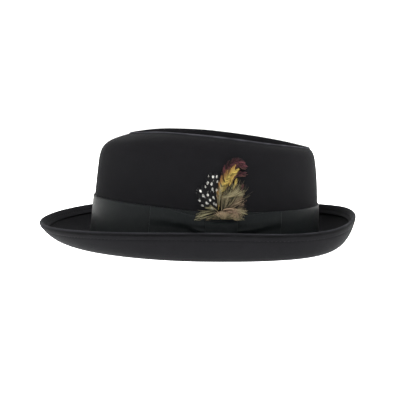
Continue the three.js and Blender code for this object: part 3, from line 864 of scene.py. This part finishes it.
def make_wing(form, material, name, side, reach, level):
    """One wing: a loop of ribbon, its front layer pleated into the knot and its back layer flat on the band.

    level is the share of its reach from which its fold runs level.
    """
    ribbon = form.ribbon
    v = np.linspace(0, 1, 61)
    columns, run = [], []
    for u in np.linspace(0, 1, 49):
        along, height, out = wing_points(form, side, reach, level, u, v)
        columns.append((along + 0 * v, height, out))
        run.append(u * reach)
    end_along, end_height, end_out = columns[-1]
    back = form.bow_seat + WING_BACK
    for t in np.radians([25, 50, 75, 100, 125, 150]):
        half = (end_out - back) / 2
        columns.append((end_along + side * MM * math.sin(t), end_height, back + half * (1 + math.cos(t))))
        run.append(run[-1] + 0.5 * MM)
    for u in np.linspace(1, 0, 17):
        along, height = wing_points(form, side, reach, level, u, v)[:2]
        columns.append((along + 0 * v, height, back + 0 * v))
        run.append(run[-1] + (reach / 16 if u < 1 else 0.5 * MM))
    placed = [form.beside_knot(*column) for column in columns]
    across = v * ribbon.height
    piece = add_loop("ribbon_" + name, name, placed, run, across, material, WING_THICKNESS, side < 0)


def make_knot(form, material):
    """The knot: ribbon folded narrower and wrapped over the bow's middle from top to bottom."""
    ribbon = form.ribbon
    w = np.linspace(-1, 1, 41)
    rows, run = [], [0.0]
    for k, turned in enumerate(np.radians(np.linspace(-90, 90, 37))):
        height = math.copysign(abs(math.sin(turned)) ** 0.45, turned) * (ribbon.knot_height / 2)
        deep = math.cos(turned) ** 0.35
        folds = 0.18 * MM * np.cos(w * 2.6 * math.pi + 0.6) * deep
        crown = 1 - 0.16 * np.abs(w) ** 4
        lean = 0.4 * MM * math.sin(k / 36 * math.pi)
        out = form.bow_seat + CLEARANCE + (ribbon.knot_thickness - KNOT_THICKNESS) * deep * crown + folds
        along = w * (ribbon.knot_width / 2 - lean)
        rows.append(form.beside_knot(along, form.bow_middle + height, out))
        if k:
            run.append(run[-1] + float(np.linalg.norm(rows[-1][20] - rows[-2][20])))
    across = w * ribbon.knot_width / 2
    piece = add_loop("ribbon_bow_knot", "bow_knot", rows, run, across, material, KNOT_THICKNESS, True)


class Plume:
    """Collects barbs and quills laid out on the feather plane, and makes one mesh of them."""

    def __init__(self, form, seed):
        self.form = form
        self.random = np.random.default_rng(seed)
        self.blades = []

    def add(self, along, up, out, width, tone, warmth=0.0, place=(0.0, 0.0)):
        """Thin blades: arrays of (blades, points) for where they run, how wide they are and their colour."""
        line = stacked(along, up, out)
        shape = line.shape[:2]
        self.blades.append((line, *(np.broadcast_to(x, shape) for x in (width, tone, warmth)),
                            np.broadcast_to(place, shape + (2,))))

    def piece(self, name, material, replaces, slot):
        """One mesh of all the barbs so far, with three sides each."""
        sides = 3
        points, faces, tones, warmths, places = [], [], [], [], []
        offset = 0
        for line, width, tone, warmth, place in self.blades:
            out = np.broadcast_to([0.0, 0.0, 1.0], line.shape)
            made, made_faces = tubes(line, width, width * 0.55, sides, out)
            points.append(made)
            faces += [[corner + offset for corner in face] for face in made_faces]
            offset += len(made)
            tones.append(np.repeat(tone.ravel(), sides))
            warmths.append(np.repeat(warmth.ravel(), sides))
            places.append(np.repeat(place.reshape(-1, 2), sides, axis=0))
        flat = np.concatenate(points)
        placed = self.form.feather_plane(flat[:, 0], flat[:, 1], flat[:, 2])
        uv = np.concatenate(places)[np.concatenate([np.array(face) for face in faces])]
        values = {"tone": np.concatenate(tones).clip(0, 1), "warmth": np.concatenate(warmths).clip(0, 1)}
        add_piece(name, placed, faces, material, replaces, uv=uv, values_by_point=values)


def spine_of(points, size):
    """A smooth line through (along, up) shares of a size, with its direction and its length."""
    ring = np.array(points, float)[:, None] * size
    ring = np.concatenate([ring, np.zeros_like(ring[..., :1])], -1)
    line = through(ring, 24)[:, 0, :2]
    run = run_along(line)
    at = np.linspace(0, run[-1], 200)
    line = np.stack([np.interp(at, run, line[:, k]) for k in (0, 1)], -1)
    return line, unit(np.gradient(line, axis=0)), run[-1]


def add_vane(plume, spine, size, half_width, layer, step, lean, ragged, tone, root=0.25, tip=0.1, fullest=0.6,
             warmth=(0.0, 0.0), camber=0.5, quill=0.7, blade=1.5):
    """One feather: a quill with barbs on both sides that lean towards its tip.

    tone is at its root and its tip, and how much its barbs differ. warmth is for its left and right.
    """
    line, direction, run = spine_of(spine, size)
    normal = np.stack([-direction[:, 1], direction[:, 0]], -1)
    start = 0.06
    count = int(run * (1 - start) / step)
    s = np.linspace(0, 1, 9)
    index = np.arange(len(line))
    for side, warm in zip((1, -1), warmth):
        t = mix(start, 0.985, (np.arange(count) + plume.random.random(count)) / count)
        swell = np.where(t < fullest, mix(root, 1, np.sin(t / fullest * math.pi / 2)),
                         mix(tip, 1, np.cos((t - fullest) / (1 - fullest) * math.pi / 2)))
        wide = half_width * swell * (1 + ragged * (plume.random.random(count) - 0.6))
        base, ahead, away = (np.stack([np.interp(t * (len(line) - 1), index, part[:, k]) for k in (0, 1)], -1)
                             for part in (line, direction, normal * side))
        waves = np.array([noise.noise(Vector((x * run / (2.2 * MM), side * 3.1, layer / MM))) for x in t])
        leaning = lean * (1 + 0.3 * (plume.random.random(count) - 0.5) + 0.5 * waves) + 0.6 * t ** 5
        outward = (wide * (1 - 0.55 * t ** 5))[:, None] * s ** 0.92
        forward = (wide * leaning)[:, None] * (0.7 * s + 0.7 * s ** 2)
        where = base[:, None] + away[:, None] * outward[..., None] + ahead[:, None] * forward[..., None]
        depth = layer + camber * MM * (1 - s ** 2) + 0.22 * MM * plume.random.random((count, 1))
        streak = plume.random.random(count) * 0.7 + 0.15 + waves * 0.6
        shade = (mix(tone[0], tone[1], t ** 1.3) + tone[2] * (streak - 0.5))[:, None] + 0.12 * (s - 0.5)
        place = np.stack([side * outward, (t * run)[:, None] + forward], -1)
        plume.add(where[..., 0], where[..., 1], depth, step * blade * (1 - 0.55 * s ** 2), shade,
                  warm * smooth(s * 1.5) + 0.15 * waves[:, None], place)
    if quill:
        stem = line[:int(len(line) * 0.93):6]
        place = np.stack([np.full(len(stem), 0.0), np.linspace(0, run, len(stem))], -1)
        plume.add(stem[None, :, 0], stem[None, :, 1], layer + (camber + 0.2) * MM,
                  quill * MM * np.linspace(1, 0.3, len(stem))[None], 0.2 + mix(tone[0], tone[1], 0.5), 0,
                  place[None])


# Barbs in a bundle of hackle, the lowest that one may hang in mm from the tuft's middle, and where the down
# that covers their foot starts
BUNDLE_BARBS = 6
LOWEST_BARB = -3.4
DOWN_BARBS = 1000
DOWN_FOOT = -2.9


def add_strands(plume, lock, rear, front):
    """A lock of hackle: bundles of long barbs that run together and part at their tips."""
    s = np.linspace(0, 1, 9)
    random = plume.random
    for _ in range(lock.bundles):
        # Each bundle strays a little from its lock, and each barb from its bundle
        heading = lock.toward + random.normal(0, lock.spread)
        reach = lock.length * mix(0.75, 1.06, random.random())
        light = lock.light - 0.06 + random.normal(0, 0.3)
        warm = lock.warm + random.normal(0, 0.16)
        level = lock.ahead + 0.14 * (random.random() - 0.5)
        start = np.array([lock.along, lock.up]) + random.normal(0, 0.8, 2)
        each = (BUNDLE_BARBS, 1)
        heading = heading + random.normal(0, 3, each)
        angle = np.radians(heading + (lock.bend + random.normal(0, 8, each)) * s ** 1.4)
        step = reach * mix(0.7, 1.05, random.random(each)) / (len(s) - 1)
        along, up = (np.concatenate([np.zeros(each), np.cumsum(way(angle[:, 1:]) * step, 1)], 1) + begin
                     for way, begin in zip((np.cos, np.sin), start))
        side = random.normal(0, 0.22, each)
        out = mix(rear, front, level) + (np.sin(s * math.pi * 0.75) * 0.8 + side) * MM
        shade = light + random.normal(0, 0.12, each) + 0.4 * (s - 0.55)
        width = mix(0.24, 0.42, random.random(each)) * MM * (1 - 0.6 * s)
        plume.add(along * MM, np.maximum(up + side, LOWEST_BARB) * MM, out, width, shade, warm)


def make_guinea(form, finishes):
    """Two guinea feathers, the rear one upright and the front one leaning out."""
    sizes = form.feathers
    plume = Plume(form, sizes.seed)
    layer = CLEARANCE + sizes.layer
    for k, spine in enumerate([
            [(-0.10, 0.08), (-0.23, 0.50), (-0.27, 0.86)],
            [(-0.12, 0.04), (-0.36, 0.30), (-0.50, 0.56)]]):
        add_vane(plume, spine, sizes.guinea_length, sizes.guinea_width * 0.46, layer + k * 0.5 * MM,
                 sizes.barb_step, lean=0.6, ragged=0.5, tone=(0.2, 0.5, 0.5), camber=0.3, root=0.3, tip=0.3)
    plume.piece("guinea_feather_pair", guinea_feather(finishes), "guinea_feathers", "dark_feather")


def make_gold(form, finishes):
    """The gold feather, curled over at its tip, with two small ones in front of it."""
    sizes = form.feathers
    plume = Plume(form, sizes.seed + 1)
    layer = CLEARANCE + 2 * sizes.layer
    spine = [(-0.075, 0.10), (-0.055, 0.42), (0.03, 0.65), (0.14, 0.77)]
    add_vane(plume, spine, sizes.gold_length, sizes.gold_width * 0.36, layer, sizes.barb_step, lean=0.6,
             ragged=0.3, tone=(0.15, 0.68, 0.9), warmth=(0.9, 0.1), root=0.1, tip=0.8, fullest=0.88,
             quill=0.4)
    # Short barbs fill its blunt tip
    add_vane(plume, [(4.0, 30.5), (6.2, 34.0), (8.0, 36.2)], MM, 3.4 * MM, layer + 0.3 * MM, sizes.barb_step,
             lean=0.5, ragged=0.25, tone=(0.44, 0.6, 0.8), warmth=(0.6, 0.0), root=0.5, tip=0.85, fullest=0.9,
             quill=0)
    # A small pale feather lies on the gold one, and a narrow one beside it
    add_vane(plume, [(4.2, 23.0), (5.4, 27.0), (7.2, 31.5)], MM, 1.5 * MM, layer + 1.0 * MM, sizes.barb_step,
             lean=1.0, ragged=0.5, tone=(0.6, 0.75, 0.9), warmth=(0.7, 0.7), root=0.4, tip=0.2, quill=0.35,
             blade=0.9)
    add_vane(plume, [(7.0, 19.0), (9.2, 24.0), (10.2, 28.5)], MM, 1.2 * MM, layer + 0.4 * MM, sizes.barb_step,
             lean=1.3, ragged=0.6, tone=(0.3, 0.5, 0.9), root=0.4, tip=0.3, quill=0.3, blade=0.9)
    plume.piece("gold_feather_vane",
                dyed_feather("dyed_gold_feather", finishes.gold, finishes.gold_edge, 0.5),
                "gold_feather", "gold_feather")


def make_burgundy(form, finishes):
    """The burgundy feather: an arch over the gold one, lobes below its tip and an edge behind the hackle."""
    sizes = form.feathers
    plume = Plume(form, sizes.seed + 2)
    size, half = sizes.burgundy_length, sizes.burgundy_width / 2
    arch = [(0.0, 0.10), (-0.02, 0.52), (0.035, 0.73), (0.12, 0.82), (0.22, 0.84), (0.33, 0.79)]
    lobe = [(0.04, 0.34), (0.17, 0.61), (0.37, 0.65)]
    edge = [(0.18, 0.26), (0.30, 0.34), (0.335, 0.47)]
    under = [(0.06, 0.62), (0.20, 0.775), (0.36, 0.755)]
    for spine, wide in ((arch, 0.74), (under, 0.5), (lobe, 0.56), (edge, 0.3)):
        add_vane(plume, spine, size, half * wide, CLEARANCE, sizes.barb_step, lean=0.9, ragged=0.2,
                 tone=(0.25, 0.42, 0.7), warmth=(0.2, 0.8), fullest=0.8, tip=0.55, quill=0.3)
    plume.piece("burgundy_feather_vane",
                dyed_feather("dyed_burgundy_feather", finishes.burgundy, finishes.burgundy_edge, 0.5),
                "burgundy_feather", "burgundy_feather")


# Locks of hackle: where each starts in mm from the tuft's middle, the way it points and how far it bends in
# degrees, its length in mm, its bundles and their spread in degrees, how far in front it lies, and how light
# and how warm it is
Lock = namedtuple("Lock", "along up toward bend length bundles spread ahead light warm")
HACKLE_LOCKS = (
    Lock(0, 5, 92, 0, 12, 8, 16, 0.0, 0.1, 0.4),
    Lock(2, 5, 80, -4, 21, 9, 7, 0.1, 0.3, 0.1),
    Lock(3, 5, 64, -8, 24, 9, 6, 0.12, 0.28, 0.1),
    Lock(4, 5, 50, -6, 22, 9, 6, 0.2, 0.3, 0.25),
    Lock(4, 4, 42, -14, 16, 9, 8, 0.3, 0.12, 0.9),
    Lock(-0.5, 15.4, 4, 34, 18, 7, 3, 0.62, 0.8, 0.0),
    Lock(11, 17.5, 20, -50, 6, 3, 8, 0.5, 0.7, 0.1),
    Lock(4, 4, 40, -16, 17.5, 6, 5, 0.45, 0.5, 0.8),
    Lock(5, 3, 30, -26, 15.5, 7, 6, 0.55, 0.34, 0.6),
    Lock(5, 2.5, 22, -38, 15, 7, 6, 0.7, 0.55, 0.3),
    Lock(1, 3.5, 24, -85, 15, 6, 7, 0.95, 0.62, 0.9),
    Lock(6, 1.5, 8, -36, 14, 8, 7, 0.9, 0.6, 0.25),
    Lock(6, -1, -4, -20, 10, 6, 7, 0.85, 0.5, 0.3),
    Lock(-7, 2.5, 197, 2, 16.5, 3, 2.5, 0.8, 0.52, 0.0),
    Lock(-8, 4.4, 187, 2, 15, 1, 3, 0.7, 0.45, 0.0),
    Lock(-5, -1, 192, 6, 8, 5, 7, 0.85, 0.4, 0.2),
    Lock(-5, 5, 160, 10, 9, 3, 12, 0.6, 0.5, 0.1),
    Lock(0.5, 3.5, 84, -6, 14, 8, 9, 0.5, 0.42, 0.35),
    Lock(-3.2, 8, 93, -6, 17, 4, 2.5, 0.4, 0.5, 0.3),
)


def make_hackle(form, finishes):
    """The fan of hackle over the feathers' foot."""
    sizes = form.feathers
    plume = Plume(form, sizes.seed + 3)
    rear = CLEARANCE + 3 * sizes.layer
    front = rear + sizes.tuft_thickness
    for lock in HACKLE_LOCKS:
        add_strands(plume, lock, rear, front)
    # The foot: short down that hides where the feathers are bound
    count = DOWN_BARBS
    random = plume.random
    across = random.normal(0.1, 1, count).clip(-1.5, 2)
    clump = np.array([noise.noise(Vector((x * 2.2, 7.7, 0.0))) for x in across])
    heading = np.radians(90 - across * 36 + random.normal(0, 16, count) + clump * 40)
    reach = mix(4.0, 7.2, random.random(count)) * (1 + 0.5 * clump)
    s = np.linspace(0, 1, 7)
    along = (across * 2.4 + 0.4)[:, None] + np.cos(heading)[:, None] * reach[:, None] * s
    rise = np.sin(heading)[:, None] * reach[:, None] * (s - 0.2 * s ** 2)
    up = DOWN_FOOT + 0.9 * np.abs(clump)[:, None] + rise
    out = mix(rear, front, 0.45 + 0.5 * random.random(count))[:, None] + MM * np.sin(s * math.pi * 0.8)
    light = 0.34 + clump[:, None] * 0.7 + 0.16 * random.normal(0, 1, (count, 1)) + 0.2 * s
    warm = 0.2 + 0.8 * clump[:, None] + 0.1 * s
    plume.add(along * MM, up * MM, out, 0.3 * MM * (1 - 0.6 * s), light, warm)
    plume.piece("hackle_tuft_barbs",
                dyed_feather("olive_hackle_feather", finishes.hackle, finishes.hackle_warm, 0.6),
                "hackle_tuft", "hackle")


# The floor's flat radius, the radius of its sweep and its height
FLOOR_SEGMENTS = 96
FLOOR_RADIUS = 1.9
SWEEP_RADIUS = 0.8
SWEEP_HEIGHT = 1.5

# Each light's name, place, width and watts
LIGHTS = (
    ("key_light", (-1.5, -0.5, 0.9), 1.0, 7.5),
    ("top_light", (0.2, -0.2, 1.9), 1.2, 26),
    ("back_light", (1.4, 0.8, 0.8), 0.9, 7),
)
LIT_POINT = (0, 0, 0.04)
AIR_STRENGTH = 0.6

# The camera: lens and sensor in mm, and its pitch down in degrees
FOCAL_LENGTH = 92.2
SENSOR_WIDTH = 36.0
CAMERA_PLACE = (0.0027, -0.9, 0.15)
CAMERA_PITCH = 7.11


def make_floor(finishes):
    """A pale floor that sweeps up all round."""
    rings = [(FLOOR_RADIUS * t, 0.0) for t in (0.0001, 0.35, 0.7, 1)]
    rings += [(FLOOR_RADIUS + SWEEP_RADIUS * math.sin(a), SWEEP_RADIUS - SWEEP_RADIUS * math.cos(a))
              for a in np.radians(np.linspace(10, 90, 9))]
    rings += [(FLOOR_RADIUS + SWEEP_RADIUS, SWEEP_HEIGHT)]
    angles = turns(FLOOR_SEGMENTS)
    points = [stacked(r * np.cos(angles), r * np.sin(angles), z) for r, z in rings]
    faces = grid_faces(len(rings), FLOOR_SEGMENTS, round_columns=True)[1]
    paper = studio_paper(finishes.floor)
    floor = add_object("studio_floor", new_mesh("studio_floor", points, faces.tolist(), paper))


def make_stage(finishes):
    """The floor, soft light from three sides and all round, and the camera."""
    make_floor(finishes)
    scene = bpy.context.scene
    for name, place, size, power in LIGHTS:
        light = bpy.data.lights.new(name, "AREA")
        light.shape, light.size, light.energy = "DISK", size, power
        lamp = add_object(name, light)
        lamp.location = place
        lamp.rotation_euler = (Vector(LIT_POINT) - Vector(place)).to_track_quat("-Z", "Y").to_euler()

    scene.world = bpy.data.worlds.new("studio_air")
    scene.world.use_nodes = True
    background = scene.world.node_tree.nodes["Background"].inputs
    background["Color"].default_value = (1, 1, 1, 1)
    background["Strength"].default_value = AIR_STRENGTH

    camera = bpy.data.cameras.new("camera")
    camera.lens, camera.sensor_width = FOCAL_LENGTH, SENSOR_WIDTH
    camera.clip_start, camera.clip_end = 0.05, 20
    scene.camera = add_object("camera", camera)
    scene.camera.location = CAMERA_PLACE
    scene.camera.rotation_euler = (math.radians(90 - CAMERA_PITCH), 0, 0)
    scene.view_settings.view_transform = "Standard"


class HatOperator:
    """What the hat's operators share."""

    bl_options = {"REGISTER", "UNDO"}

    def execute(self, context):
        sizes = context.scene.hat_sizes
        self.build(HatForm(sizes), sizes.finishes)
        return {"FINISHED"}


class HAT_OT_stage(HatOperator, Operator):
    """Make the floor, the lights and the camera"""

    bl_idname = "hat.stage"
    bl_label = "Stage"

    def build(self, form, finishes):
        make_stage(finishes)


class HAT_OT_felt(HatOperator, Operator):
    """Make the felt crown and brim in one piece, and the stitching of its welt"""

    bl_idname = "hat.felt"
    bl_label = "Felt Crown and Brim"

    def build(self, form, finishes):
        make_felt(form, finishes)
        make_stitching(form)


class HAT_OT_band(HatOperator, Operator):
    """Make the ribbon band"""

    bl_idname = "hat.band"
    bl_label = "Ribbon Band"

    def build(self, form, finishes):
        make_band(form, finishes)


class HAT_OT_bow(HatOperator, Operator):
    """Make the bow's two wings and its knot"""

    bl_idname = "hat.bow"
    bl_label = "Ribbon Bow"

    def build(self, form, finishes):
        material = bpy.data.materials["rayon_grosgrain"]
        make_wing(form, material, "bow_wing_front", -1, form.ribbon.wing_front, 0.38)
        make_wing(form, material, "bow_wing_back", 1, form.ribbon.wing_back, 1.1)
        make_knot(form, material)


class HAT_OT_feathers(HatOperator, Operator):
    """Make the feather mount"""

    bl_idname = "hat.feathers"
    bl_label = "Feather Mount"

    def build(self, form, finishes):
        make_burgundy(form, finishes)
        make_guinea(form, finishes)
        make_gold(form, finishes)
        make_hackle(form, finishes)


OPERATORS = (HAT_OT_stage, HAT_OT_felt, HAT_OT_band, HAT_OT_bow, HAT_OT_feathers)


class HAT_PT_sidebar(Panel):
    """The hat's sizes and the steps that make it"""

    bl_label = "Porkpie Hat"
    bl_idname = "HAT_PT_sidebar"
    bl_space_type = "VIEW_3D"
    bl_region_type = "UI"
    bl_category = "Hat"

    def draw(self, context):
        sizes = context.scene.hat_sizes
        for group in (sizes.crown, sizes.brim, sizes.ribbon, sizes.feathers, sizes.finishes):
            box = self.layout.box()
            for name in group.__annotations__:
                box.prop(group, name)
        for operator in OPERATORS:
            self.layout.operator(operator.bl_idname)


CLASSES = (CrownSizes, BrimSizes, RibbonSizes, FeatherSizes, Finishes, HatSizes, *OPERATORS, HAT_PT_sidebar)


def register():
    for made in CLASSES:
        bpy.utils.register_class(made)
    bpy.types.Scene.hat_sizes = PointerProperty(type=HatSizes)


def unregister():
    del bpy.types.Scene.hat_sizes
    for made in reversed(CLASSES):
        bpy.utils.unregister_class(made)


def main():
    register()
    bpy.ops.hat.stage()
    bpy.ops.hat.felt()
    bpy.ops.hat.band()
    bpy.ops.hat.bow()
    bpy.ops.hat.feathers()


if __name__ == "__main__":
    main()
